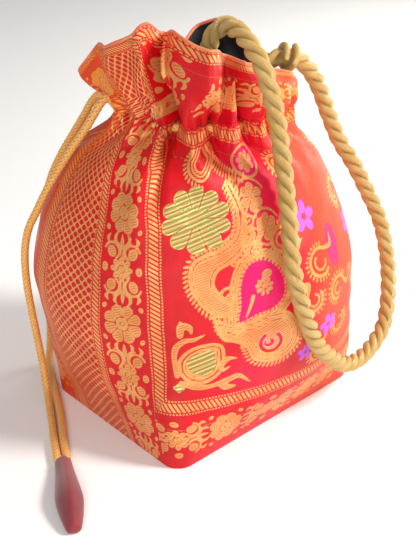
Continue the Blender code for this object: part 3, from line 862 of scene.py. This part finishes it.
def field_gold(u, v):
    """Gold figures of the field, in the bag's own u and v."""
    g = Shapes(u, v)
    x, y, a, b = PALE_FLOWER
    g.petals(x, y, b * 0.80, b * 1.10, 10, 0.35, 0.5, a / b)
    g.spokes(x, y, 10, 0.35 + math.pi / 10, b * 0.30, b * 1.2, 0.00032, a / b)
    plume = smooth_line(PLUME, 6, closed=True)
    g.patch(plume)
    g.band(plume, 0.0021, 0.0003, cut=True)
    left = smooth_line([(0.0330, 0.1560), (0.0380, 0.1430), (0.0370, 0.1320), (0.0290, 0.1260), (0.0200, 0.1235),
                        (0.0125, 0.1190), (0.0115, 0.1080), (0.0165, 0.0970), (0.0250, 0.0895), (0.0325, 0.0900)])
    g.leaves(left, 0.0034, 0.0023, 0.5, 0.00075, side=-1)
    right = smooth_line([(0.0375, 0.1560), (0.0425, 0.1450), (0.0440, 0.1330), (0.0405, 0.1230), (0.0330, 0.1175)])
    g.leaves(right, 0.0030, 0.0023, -0.5, 0.00070, side=1)
    g.ring(0.0315, 0.1010, 0.0042, 0.0008, (0.3, 4.6))
    g.oval(0.0318, 0.1000, 0.0020, 0.0022)
    heart = smooth_line(HEART_DROP, 6, closed=True)
    g.band(heart, -0.0022, 0.0012)
    g.band(heart, -0.0046, 0.0006)
    g.petals(0.0505, 0.1035, 0.0030, 0.0052, 9, 0.2, 0.6)
    g.spokes(0.0505, 0.1035, 9, 0.2 + math.pi / 9, 0.0012, 0.0052, 0.0003)
    g.oval(0.0525, 0.1100, 0.0030, 0.0022, 0.4)
    g.stroke(smooth_line([(0.0440, 0.0990), (0.0420, 0.0930), (0.0400, 0.0880)]), (0.0010, 0.0008, 0.0004))
    ring = resample(np.vstack([heart, heart[:1]]), 0.0024)
    for x, y in ring:
        g.oval(x, y, 0.00085, 0.00085)
    scroll = smooth_line(SCROLL_DROP, 6, closed=True)
    g.patch(scroll)
    g.band(scroll, 0.0018, 0.0003, cut=True)
    g.band(scroll, 0.0046, 0.0003, cut=True)
    g.ring(0.0530, 0.0700, 0.0058, 0.0010, (2.0, 5.2), cut=True)
    g.oval(0.0520, 0.0700, 0.0030, 0.0026, cut=True)
    g.oval(0.0515, 0.0705, 0.0015, 0.0013)
    low = smooth_line([(0.0700, 0.0760), (0.0690, 0.0650), (0.0620, 0.0580), (0.0520, 0.0570), (0.0430, 0.0610), (0.0390, 0.0700)])
    g.leaves(low, 0.0034, 0.0022, 0.4, 0.00075, side=1)
    tips = smooth_line([(0.0390, 0.0700), (0.0330, 0.0735), (0.0270, 0.0760), (0.0230, 0.0820), (0.0220, 0.0890)])
    g.leaves(tips, 0.0038, 0.0026, 0.3, 0.0009, side=-1)
    green = smooth_line(GREEN_DROP, 6, closed=True)
    g.patch(green)
    g.band(green, 0.0016, 0.00028, cut=True)
    g.band(green, -0.0018, 0.0009)
    g.stroke(smooth_line([(0.0022, 0.0560), (0.0016, 0.0640), (0.0030, 0.0720), (0.0075, 0.0765), (0.0130, 0.0775), (0.0185, 0.0800)]),
             (0.0014, 0.0012, 0.0016, 0.0014, 0.0011, 0.0004))
    g.stroke(smooth_line([(0.0060, 0.0800), (0.0070, 0.0850), (0.0110, 0.0845), (0.0118, 0.0810)]), (0.0016, 0.0022, 0.0016, 0.0005))
    g.stroke(smooth_line([(0.0062, 0.0880), (0.0078, 0.0862)]), (0.0004, 0.0009))
    g.stroke(smooth_line([(0.0040, 0.0520), (0.0120, 0.0490), (0.0210, 0.0490), (0.0290, 0.0510), (0.0350, 0.0525), (0.0415, 0.0470)]),
             (0.0012, 0.0013, 0.0012, 0.0017, 0.0014, 0.0004))
    g.stroke(smooth_line([(0.0225, 0.0500), (0.0275, 0.0470), (0.0330, 0.0465)]), (0.0006, 0.0020, 0.0006))
    g.stroke(smooth_line([(0.0250, 0.0600), (0.0290, 0.0640), (0.0340, 0.0640)]), (0.0014, 0.0015, 0.0004))
    g.stroke(smooth_line([(0.0265, 0.0575), (0.0300, 0.0590)]), (0.0010, 0.0004))
    for x, y in ((0.0025, 0.0504), (0.0045, 0.0492), (0.0008, 0.0492), (0.0025, 0.0478)):
        g.oval(x, y, 0.0012, 0.0012)
    upper = smooth_line(UPPER_DROP, 6, closed=True)
    g.band(upper, 0.0006, 0.0008)
    g.band(upper, 0.0032, 0.0006)
    g.band(upper, 0.0055, 0.0006)
    fringe = smooth_line([(0.0020, 0.1840), (0.0060, 0.1780), (0.0035, 0.1700), (0.0080, 0.1610), (0.0170, 0.1575)])
    g.leaves(fringe, 0.0036, 0.0024, 0.5, 0.0008, side=-1)
    sweep_down = smooth_line([(0.0240, 0.1700), (0.0300, 0.1640), (0.0370, 0.1600), (0.0470, 0.1580)])
    g.leaves(sweep_down, 0.0034, 0.0023, 0.2, 0.0008, side=1)
    g.leaves(sweep_down, 0.0034, 0.0023, -0.2, 0.0008, side=-1)
    g.petals(0.0510, 0.1680, 0.0045, 0.0070, 7, 0.3, 0.6)
    g.spokes(0.0510, 0.1680, 7, 0.3 + math.pi / 7, 0.0020, 0.0070, 0.0004)
    g.ring(0.0510, 0.1680, 0.0098, 0.0008)
    for cx, cy, r in ((0.0500, 0.1480, 0.0070), (0.0560, 0.1330, 0.0065), (0.0470, 0.1265, 0.0050)):
        g.petals(cx, cy, r * 0.7, r * 1.05, 6, 0.5, 0.6)
        g.spokes(cx, cy, 6, 0.5 + math.pi / 6, r * 0.25, r * 1.1, 0.00035)
        g.ring(cx, cy, r * 1.35, 0.0006, (0.4, 4.4))
    for cx, cy, r, turn in ((0.0640, 0.1250, 0.0060, 0.0), (0.0880, 0.1060, 0.0075, 1.0), (0.0800, 0.0870, 0.0060, 2.4),
                            (0.1010, 0.0860, 0.0065, 0.4), (0.0860, 0.0500, 0.0060, 1.6), (0.1040, 0.0620, 0.0060, 2.9),
                            (0.1240, 0.1330, 0.0070, 0.6), (0.1420, 0.1080, 0.0070, 2.0), (0.1260, 0.0850, 0.0065, 3.0),
                            (0.1440, 0.0620, 0.0065, 1.2), (0.0780, 0.1620, 0.0060, 0.8), (0.1380, 0.1640, 0.0065, 2.2)):
        g.ring(cx, cy, r, 0.0009, (turn, 4.6))
        g.ring(cx, cy, r * 0.55, 0.0007, (turn + 1.2, 4.2))
        tail = [(cx + r * math.cos(turn), cy + r * math.sin(turn)), (cx + 1.7 * r * math.cos(turn - 0.5), cy + 1.7 * r * math.sin(turn - 0.5)),
                (cx + 2.3 * r * math.cos(turn - 0.2), cy + 2.3 * r * math.sin(turn - 0.2))]
        g.stroke(smooth_line(tail), (0.0009, 0.0014, 0.0003))
        outer = [(cx + (r + 0.0012) * math.cos(turn + k), cy + (r + 0.0012) * math.sin(turn + k)) for k in np.linspace(0.3, 4.2, 12)]
        g.leaves(outer, 0.0026, 0.0023, 0.2, 0.0007, side=-1)
    return g


def field_green(u, v):
    g = Shapes(u, v)
    x, y, a, b = PALE_FLOWER
    g.petals(x + 0.001, y, b * 0.86, b * 1.12, 10, 0.35, 0.5, a / b)
    g.oval(0.0155, 0.0625, 0.0078, 0.0068)
    g.oval(0.0195, 0.0672, 0.0040, 0.0030, 0.4)
    g.oval(0.0025, 0.0490, 0.0022, 0.0022)
    g.oval(0.1090, 0.1560, 0.0085, 0.0110, 0.3)
    return g.d


def field_magenta(u, v):
    g = Shapes(u, v)
    g.patch(smooth_line(HEART_DROP, 6, closed=True))
    g.oval(0.0510, 0.1680, 0.0090, 0.0085)
    g.oval(0.0530, 0.0715, 0.0060, 0.0060)
    g.oval(0.1010, 0.1110, 0.0055, 0.0120)
    return g.d


def field_violet(u, v):
    g = Shapes(u, v)
    for cx, cy, turn, r in ((0.0830, 0.1320, 0.2, 0.0082), (0.0925, 0.0665, 0.6, 0.0070), (0.0755, 0.0545, 0.3, 0.0055),
                            (0.1300, 0.1120, 0.9, 0.0075)):
        for k in range(5):
            a = turn + k * 2 * math.pi / 5
            g.oval(cx + r * 0.62 * math.cos(a), cy + r * 0.62 * math.sin(a), r * 0.42, r * 0.30, a)
    return g.d


def pattern(u, v):
    """All the pattern's fields at points of the bag, with two of painted light: an orange cast on the lit sides and a
    pink sheen.
    """
    cu, cv = cloth_coordinates(u, v)
    r = in_repeat(cu)
    field_u = in_repeat(u)
    vertical = floral_border(cv - 0.0525, r + 0.0205)
    low = floral_border(r - 0.003, cv - 0.0185)
    high = floral_border(r - 0.010, cv - 0.2070)
    in_field = r > 0.001
    figures = field_gold(field_u, v)
    gold = figures.d
    frame_low = 0.043
    frame_high = 0.1785
    gold = np.where(in_field & (cv > frame_low + 0.0012) & (cv < frame_high), gold, 0.006)
    gold = np.where((r > -0.0325) & (r < -0.0080), np.minimum(gold, vertical), gold)
    gold = np.where((r > -0.0080) & (cv < 0.0335), low, gold)
    gold = np.where(in_field & (cv > 0.1875) & (cv < 0.2225), high, gold)
    lines = []
    everywhere = np.ones_like(r, dtype=bool)
    framed = (cv > 0.0385 + 0.0045 / 0.0043 * (r + 0.0032)) & (cv < 0.1830 - 0.0042 / 0.0043 * (r + 0.0032))
    for middle, half, where in ((-0.0815, 0.0080, everywhere), (-0.0360, 0.0030, everywhere), (-0.0032, 0.0043, framed)):
        lines.append((r - middle, half, cv, where))
    for middle, half in ((0.0385, 0.0045), (0.1830, 0.0042)):
        lines.append((cv - middle, half, r, (r > -0.0075) & ~framed | (r > 0.0011)))
    lines.append((cv - 0.2275, 0.0030, r, everywhere))
    across = np.full_like(r, 3.0)
    along = np.zeros_like(r)
    for offset, half, run, where in lines:
        w = np.abs(offset) / half
        better = where & (w < np.abs(across))
        across = np.where(better, offset / half, across)
        along = np.where(better, run, along)
    net = np.maximum(np.maximum(-0.073 - r, r + 0.039), cv - 0.2245)
    keep_off = (np.abs(across) < 1.0).astype(float)
    gold = np.where(keep_off > 0, 0.006, gold)
    # Painted light: an orange cast that stands for the shot silk lit from the right, strongest on the right of the
    # field and weaker on the left net
    lit_orange = np.clip(ease((field_u - 0.066) / 0.035) + 0.55 * ease((-0.052 - r) / 0.03), 0, 1)
    # Painted sheen: a pink cast in two soft patches right of the front, standing for the shot silk's changing sheen
    pink_sheen = np.exp(-(((field_u - 0.052) / 0.022) ** 2) - ((v - 0.135) / 0.05) ** 2)
    pink_sheen += 0.8 * np.exp(-(((field_u - 0.040) / 0.02) ** 2) - ((v - 0.052) / 0.012) ** 2)
    return {
        "gold": gold,
        "green": field_green(field_u, v),
        "magenta": field_magenta(field_u, v),
        "violet": field_violet(field_u, v),
        "across": np.clip(across, -3, 3),
        "along": along,
        "net": net,
        "lit_orange": lit_orange,
        "pink_sheen": np.clip(pink_sheen, 0, 1),
        "cu": cu,
        "cv": cv,
    }


class Nodes:
    """Short names for the shader nodes of one material."""

    def __init__(self, name):
        self.mat = bpy.data.materials.new(name)
        self.mat.use_nodes = True
        self.tree = self.mat.node_tree
        self.shader = self.tree.nodes["Principled BSDF"]

    def put(self, socket, value):
        if isinstance(value, bpy.types.NodeSocket):
            self.tree.links.new(value, socket)
        else:
            socket.default_value = value

    def math(self, operation, *values, clamp=False):
        node = self.tree.nodes.new("ShaderNodeMath")
        node.operation = operation
        node.use_clamp = clamp
        for socket, value in zip(node.inputs, values):
            self.put(socket, value)
        return node.outputs[0]

    def step(self, value, low, high):
        """0 below low and 1 above high, eased between; low may be the greater."""
        node = self.tree.nodes.new("ShaderNodeMapRange")
        node.interpolation_type = "SMOOTHSTEP"
        self.put(node.inputs["Value"], value)
        first, last = (0.0, 1.0) if low < high else (1.0, 0.0)
        node.inputs["From Min"].default_value = min(low, high)
        node.inputs["From Max"].default_value = max(low, high)
        node.inputs["To Min"].default_value = first
        node.inputs["To Max"].default_value = last
        return node.outputs["Result"]

    def mix(self, share, one, two, blend="MIX"):
        node = self.tree.nodes.new("ShaderNodeMix")
        node.data_type = "RGBA"
        node.blend_type = blend
        self.put(node.inputs[0], share)
        for socket, colour in ((node.inputs[6], one), (node.inputs[7], two)):
            self.put(socket, (*colour, 1.0) if isinstance(colour, tuple) else colour)
        return node.outputs[2]

    def field(self, name):
        node = self.tree.nodes.new("ShaderNodeAttribute")
        node.attribute_name = name
        return node.outputs["Fac"]

    def wave(self, run, period, turn=0.0):
        angle = self.math("MULTIPLY_ADD", run, 2 * math.pi / period, turn)
        return self.math("SINE", angle)

    def noise(self, scale, detail=2.0, rough=0.5, vector=None, stretch=None):
        node = self.tree.nodes.new("ShaderNodeTexNoise")
        node.inputs["Scale"].default_value = scale
        node.inputs["Detail"].default_value = detail
        node.inputs["Roughness"].default_value = rough
        if vector is None:
            vector = self.tree.nodes.new("ShaderNodeTexCoord").outputs["Object"]
        if stretch:
            mapping = self.tree.nodes.new("ShaderNodeMapping")
            mapping.inputs["Scale"].default_value = stretch
            self.tree.links.new(vector, mapping.inputs["Vector"])
            vector = mapping.outputs["Vector"]
        self.tree.links.new(vector, node.inputs["Vector"])
        return node.outputs["Fac"]

    def bump(self, height, distance, strength=1.0):
        node = self.tree.nodes.new("ShaderNodeBump")
        node.inputs["Strength"].default_value = strength
        node.inputs["Distance"].default_value = distance
        self.put(node.inputs["Height"], height)
        self.tree.links.new(node.outputs["Normal"], self.shader.inputs["Normal"])

    def set(self, **values):
        for name, value in values.items():
            self.put(self.shader.inputs[name.replace("_", " ")], value)
        return self


def brocade_material(name="brocade"):
    n = Nodes(name)
    cu, cv = n.field("cu"), n.field("cv")
    across = n.field("across")
    width = n.math("ABSOLUTE", across)
    along = n.field("along")
    gold_d = n.field("gold")
    figure = n.step(gold_d, 0.00022, -0.00022)
    slant = n.math("MULTIPLY_ADD", across, 0.0022, along)
    bars = n.math("MULTIPLY", n.step(n.wave(slant, 0.0024), -0.7, 0.1), n.step(width, 0.62, 0.56))
    dots = n.math("MULTIPLY", n.step(n.wave(along, 0.0016), -0.7, 0.1), n.step(width, 0.74, 0.78))
    dots = n.math("MULTIPLY", dots, n.step(width, 0.98, 0.94))
    stripes = n.math("MAXIMUM", bars, dots)
    cells = n.math("ADD", n.wave(cu, 0.0052), n.wave(cv, 0.0047))
    wires = n.step(n.math("ABSOLUTE", cells), 0.72, 0.46)
    wires = n.math("MULTIPLY", wires, n.step(n.field("net"), 0.0002, -0.0002))
    zari = n.math("MAXIMUM", n.math("MAXIMUM", figure, stripes), wires)
    hatch_run = n.math("ADD", n.math("MULTIPLY", cv, 0.94), n.math("MULTIPLY", cu, -0.34))
    hatch = n.step(n.wave(hatch_run, 0.00125), -0.75, 0.15)
    inner = n.step(gold_d, -0.0004, -0.0009)
    hatch = n.math("SUBTRACT", 1.0, n.math("MULTIPLY", inner, n.math("SUBTRACT", 1.0, hatch)))
    zari = n.math("MULTIPLY", zari, n.math("MULTIPLY_ADD", hatch, 0.62, 0.38))
    patchy = n.noise(55, 3, 0.6)
    ground = n.mix(n.step(patchy, 0.30, 0.70), (0.58, 0.0, 0.006), (0.72, 0.002, 0.008))
    # Painted light: the ground turns orange under the lit-side cast
    ground = n.mix(n.math("MULTIPLY", n.field("lit_orange"), 0.45), ground, (0.90, 0.115, 0.006))
    # Painted sheen: the ground turns pink under the sheen cast
    ground = n.mix(n.math("MULTIPLY", n.field("pink_sheen"), 0.55), ground, (0.92, 0.010, 0.090))
    ground = n.mix(n.step(n.field("magenta"), 0.0003, -0.0003), ground, (0.86, 0.0, 0.13))
    gold = n.mix(n.step(patchy, 0.35, 0.65), (0.78, 0.33, 0.095), (0.86, 0.45, 0.15))
    # Painted light: the gold turns orange under the same lit-side cast
    gold = n.mix(n.field("lit_orange"), gold, (0.93, 0.36, 0.06))
    green = n.mix(n.step(n.wave(hatch_run, 0.0021), -0.4, 0.4), (0.20, 0.36, 0.07), (0.80, 0.66, 0.24))
    gold = n.mix(n.step(n.field("green"), 0.0002, -0.0006), gold, green)
    colour = n.mix(zari, ground, gold)
    violet = n.step(n.field("violet"), 0.0003, -0.0003)
    colour = n.mix(violet, colour, (0.52, 0.10, 0.80))
    threads = n.wave(cv, 0.00058)
    colour = n.mix(n.math("MULTIPLY_ADD", threads, 0.05, 0.05), colour, (0.30, 0.01, 0.01))
    n.set(Base_Color=colour)
    n.set(Metallic=n.math("MULTIPLY", zari, 0.42))
    n.set(Roughness=n.math("MULTIPLY_ADD", zari, -0.06, 0.44))
    n.set(Sheen_Weight=0.06, Sheen_Roughness=0.4, Sheen_Tint=(1.0, 0.2, 0.12, 1.0))
    n.set(Specular_IOR_Level=0.35)
    crumple = n.noise(160, 3, 0.55)
    height = n.math("MULTIPLY_ADD", zari, 0.30, n.math("MULTIPLY_ADD", threads, 0.10, n.math("MULTIPLY", crumple, 1.1)))
    n.bump(height, 0.00035, 0.9)
    return n.mat


def plain_cloth(name, colour, other, roughness, thread=0.0006, bump=0.0002, sheen=0.2):
    """A one-colour cloth with its weave and a slow change of shade."""
    n = Nodes(name)
    shade = n.step(n.noise(45, 3, 0.6), 0.3, 0.7)
    fine = n.noise(1.0 / thread, 2, 0.6)
    tone = n.mix(shade, colour, other)
    n.set(Base_Color=n.mix(n.math("MULTIPLY", fine, 0.35), tone, tuple(c * 0.5 for c in colour)))
    n.set(Roughness=n.math("MULTIPLY_ADD", fine, 0.15, roughness))
    n.set(Sheen_Weight=sheen, Sheen_Roughness=0.5)
    n.bump(n.math("MULTIPLY_ADD", n.noise(140, 3, 0.5), 1.2, fine), bump)
    return n.mat


def rope_material():
    n = Nodes("rope_yarn")
    uv = n.tree.nodes.new("ShaderNodeUVMap")
    uv.uv_map = "cloth"
    parts = n.tree.nodes.new("ShaderNodeSeparateXYZ")
    n.tree.links.new(uv.outputs["UV"], parts.inputs[0])
    run = n.math("MULTIPLY_ADD", parts.outputs[1], 190.0, parts.outputs[0])
    yarn = n.math("SINE", n.math("MULTIPLY", run, 2 * math.pi * 13))
    patch = n.noise(120, 3, 0.6)
    pale = n.mix(n.step(patch, 0.35, 0.7), (1.0, 0.74, 0.28), (0.93, 0.60, 0.18))
    # Painted shade: grey patches that stand for the yarn's changing luster
    luster_shade = n.noise(260, 2, 0.5, stretch=(1.0, 1.0, 0.35))
    pale = n.mix(n.math("MULTIPLY", n.step(luster_shade, 0.56, 0.68), 0.15), pale, (0.60, 0.50, 0.30))
    # Painted shade: the colour turns dark orange in the troughs of the yarn lines, the grooves between the threads that
    # the bump sinks
    n.set(Base_Color=n.mix(n.step(yarn, -0.4, -1.0), pale, (0.62, 0.27, 0.04)))
    n.set(Metallic=0.12, Sheen_Weight=0.10, Sheen_Roughness=0.35, Sheen_Tint=(1.0, 0.85, 0.5, 1.0))
    n.set(Roughness=0.36, Specular_IOR_Level=0.6)
    n.bump(n.math("MULTIPLY_ADD", patch, 0.4, yarn), 0.00022)
    return n.mat


def braid_material():
    n = Nodes("braid_yarn")
    height = n.field("height")
    patch = n.noise(200, 3, 0.6)
    gold = n.mix(patch, (0.85, 0.40, 0.07), (0.93, 0.55, 0.17))
    # Painted shade: the cord turns dark brown where its surface lies low, in the grooves between the plaits
    n.set(Base_Color=n.mix(n.step(height, 0.55, 0.15), gold, (0.40, 0.10, 0.008)))
    n.set(Roughness=0.45, Metallic=0.08, Sheen_Weight=0.3, Sheen_Roughness=0.4)
    n.bump(n.math("ADD", n.noise(1500, 2, 0.6), height), 0.00015)
    return n.mat


COLUMNS_FRONT = 340
COLUMNS_BACK = 134
FRONT_SPAN = (-0.120, 0.170)
BODY_ROWS = 198
RUFFLE_ROWS = 48


def column_places():
    """u of the columns, from the back seam round the front to it again."""
    half = CIRCUMFERENCE / 2
    first, last = FRONT_SPAN
    left = round(COLUMNS_BACK * (first + half) / (CIRCUMFERENCE - (last - first)))
    parts = [
        np.linspace(-half, first, left, endpoint=False),
        np.linspace(first, last, COLUMNS_FRONT, endpoint=False),
        np.linspace(last, half, COLUMNS_BACK - left, endpoint=False),
    ]
    return np.concatenate(parts)


def strip(name, points, mat, attributes=None):
    """A piece of cloth from rows of points that close round the bag."""
    rows, columns = points.shape[:2]
    i, j = np.meshgrid(np.arange(rows - 1), np.arange(columns), indexing="ij")
    k = (j + 1) % columns
    quads = np.stack([i * columns + j, i * columns + k, (i + 1) * columns + k, (i + 1) * columns + j], axis=-1)
    mesh = bpy.data.meshes.new(name)
    mesh.from_pydata(points.reshape(-1, 3).tolist(), [], quads.reshape(-1, 4).tolist())
    for key, values in (attributes or {}).items():
        layer = mesh.attributes.new(key, "FLOAT", "POINT")
        layer.data.foreach_set("value", values.astype(np.float32).ravel())
    mesh.shade_smooth()
    mesh.materials.append(mat)
    obj = bpy.data.objects.new(name, mesh)
    bpy.context.scene.collection.objects.link(obj)
    return obj


def normals_of(points):
    round_it = np.roll(points, -1, axis=1) - np.roll(points, 1, axis=1)
    up_it = np.gradient(points, axis=0)
    normal = np.cross(round_it, up_it)
    return normal / (np.linalg.norm(normal, axis=2)[..., None] + 1e-12)


def finish_piece(obj, mat=None, replaces=None):
    if mat is not None:
        obj.data.materials.clear()
        obj.data.materials.append(mat)
    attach(obj, "root")
    if replaces:
        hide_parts(replaces)
    return obj


# The cords
rope_mat = rope_material()
braid_mat = braid_material()
rope_path = read_route(ROPE_ROUTE, 0.0011)
handle = rope("handle_rope", rope_path, ROPE_DIAMETER, 0.0250)
finish_piece(handle, rope_mat, "rope_handle")
near_path = read_route(NEAR_ROUTE[1:], 0.00075)
far_path = read_route(FAR_ROUTE[1:], 0.00075)
near_tail = finish_piece(braid("drawstring_near", near_path, CORD_DIAMETER), braid_mat, "drawstring")
far_tail = finish_piece(braid("drawstring_far", far_path, CORD_DIAMETER), braid_mat, "drawstring")


def casing_route():
    across, forward, wide, deep, _ = smooth_between(SECTIONS, np.array([CORD_HEIGHT]))[0]
    inset = 0.0040 + 0.0012 + CORD_DIAMETER / 2 + 0.0009
    points = []
    for angle in np.radians(np.linspace(168, -168, 17)):
        a = across + (wide - inset) * math.cos(angle)
        f = forward + (deep - inset) * math.sin(angle)
        points.append((a, f, CORD_HEIGHT))
    return (NEAR_ROUTE[1], NEAR_ROUTE[0], *points, FAR_ROUTE[0], FAR_ROUTE[1])


casing_cord = braid("drawstring_in_casing", read_route(casing_route(), 0.0012), CORD_DIAMETER)
finish_piece(casing_cord, braid_mat, "drawstring")


def hitch():
    """The turn of the rope's own yarn round its right end."""
    turns = np.linspace(0, 2 * math.pi * 1.25, 60)
    middle = np.array(place((0.0450, -0.0147, 0.1926)))
    ahead = np.array(place((0.0513, -0.0172, 0.1905))) - np.array(place((0.0394, -0.0122, 0.1930)))
    ahead /= np.linalg.norm(ahead)
    side = np.cross(ahead, (0, 0, 1))
    side /= np.linalg.norm(side)
    up = np.cross(side, ahead)
    radius = ROPE_DIAMETER * 0.50 + 0.0012
    path = middle + radius * (np.cos(turns)[:, None] * side + np.sin(turns)[:, None] * up)
    path = path + ahead * (turns[:, None] / turns[-1] - 0.5) * 0.0075
    along = np.concatenate([[0], np.cumsum(np.linalg.norm(np.diff(path, axis=0), axis=1))])
    faces, uv = skin((len(path), 14), 0, np.linspace(0, 1, 15), along)
    return new_piece("handle_hitch", sweep(path, np.full(len(path), 0.0019), 14), faces, uv)


finish_piece(hitch(), rope_mat)


# The cloth
places = column_places()
cloth_points, cloth_v = cloth(places, BODY_ROWS, RUFFLE_ROWS)
grid_u, grid_v = np.meshgrid(places, cloth_v)
fields = pattern(grid_u.ravel(), grid_v.ravel())
brocade_mat = brocade_material()


def cloth_piece(name, low, high):
    count = len(places)
    part = {key: value.reshape(len(cloth_v), count)[low:high] for key, value in fields.items()}
    return strip(name, cloth_points[low:high], brocade_mat, part)


body = finish_piece(cloth_piece("brocade_body", 0, BODY_ROWS), None, "outer_wall")
ruffle_piece = finish_piece(cloth_piece("brocade_ruffle", BODY_ROWS - 1, len(cloth_v)), None, "outer_wall")

satin_mat = plain_cloth("lining_satin", (0.010, 0.010, 0.013), (0.020, 0.020, 0.026), 0.30, bump=0.00025)
lining_rows = np.r_[4 : len(cloth_v) - 1 : 2, len(cloth_v) - 1]
inner = (cloth_points - normals_of(cloth_points) * 0.0007)[lining_rows]
lining = finish_piece(strip("lining_cloth", inner, satin_mat), None, "lining")
edge_mat = plain_cloth("turned_edge", (0.75, 0.10, 0.06), (0.90, 0.30, 0.10), 0.5, bump=0.0003)
rim_path = cloth_points[-1] - normals_of(cloth_points)[-1] * 0.0007
rim_path = np.vstack([rim_path, rim_path[:1]])[::2]
rim_along = np.concatenate([[0], np.cumsum(np.linalg.norm(np.diff(rim_path, axis=0), axis=1))])
faces, uv = skin((len(rim_path), 10), 0, np.linspace(0, 1, 11), rim_along, closed_ends=False)
rim_edge = new_piece("ruffle_edge", sweep(rim_path, np.full(len(rim_path), 0.0009), 10), faces, uv)
finish_piece(rim_edge, edge_mat)


# The drop
DROP_TOP = (-0.0750, 0.0804)
DROP_TIP = (-0.0629, 0.1331)
DROP_SECTIONS = (
    (-0.0010, 0.0040, 0.0052),
    (0.0000, 0.0047, 0.0062),
    (0.0020, 0.0050, 0.0068),
    (0.010, 0.0054, 0.0077),
    (0.022, 0.0070, 0.0105),
    (0.031, 0.0080, 0.0118),
    (0.036, 0.0079, 0.0117),
    (0.044, 0.0067, 0.0100),
    (0.0525, 0.0046, 0.0070),
    (0.0545, 0.0034, 0.0050),
)
DROP_OUTLINE = (
    (0.0, 0.0), (0.45, 0.0), (0.80, 0.08), (1.0, 0.36), (0.62, 0.74),
    (0.12, 1.0), (-0.18, 0.99), (-0.66, 0.70), (-1.0, 0.34), (-0.80, 0.08), (-0.45, 0.0),
)


def drop():
    top = np.array(place((*DROP_TOP, 0.0)))
    tip = np.array(place((*DROP_TIP, 0.0)))
    along = (tip - top) / np.linalg.norm(tip - top)
    side = np.array([along[1], -along[0], 0.0])
    points = []
    for distance, half, height in DROP_SECTIONS:
        middle = top + along * distance
        for s, up in DROP_OUTLINE:
            points.append(middle + side * half * s + np.array([0, 0, 0.0004 + height * up]))
    sides = len(DROP_OUTLINE)
    faces, uv = skin((len(DROP_SECTIONS), sides), 0, np.linspace(0, 1, sides + 1), np.arange(len(DROP_SECTIONS)))
    obj = new_piece("velvet_drop", points, faces, uv)
    soft = obj.modifiers.new("soft", "SUBSURF")
    soft.levels = soft.render_levels = 3
    return obj


velvet_mat = plain_cloth("maroon_velvet", (0.20, 0.006, 0.014), (0.28, 0.012, 0.022), 0.62, 0.0004, 0.00015, 0.5)
velvet = finish_piece(drop(), velvet_mat, "cord_drop")


# What stays of the CAD
card_mat = plain_cloth("card", (0.42, 0.33, 0.22), (0.50, 0.40, 0.28), 0.85, 0.0008, 0.0001, 0.0)
under_mat = plain_cloth("base_cloth", (0.55, 0.006, 0.012), (0.66, 0.010, 0.014), 0.5)
for node, mat in (("base_board", card_mat), ("base_panel", under_mat)):
    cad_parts[node].data.materials[0] = mat
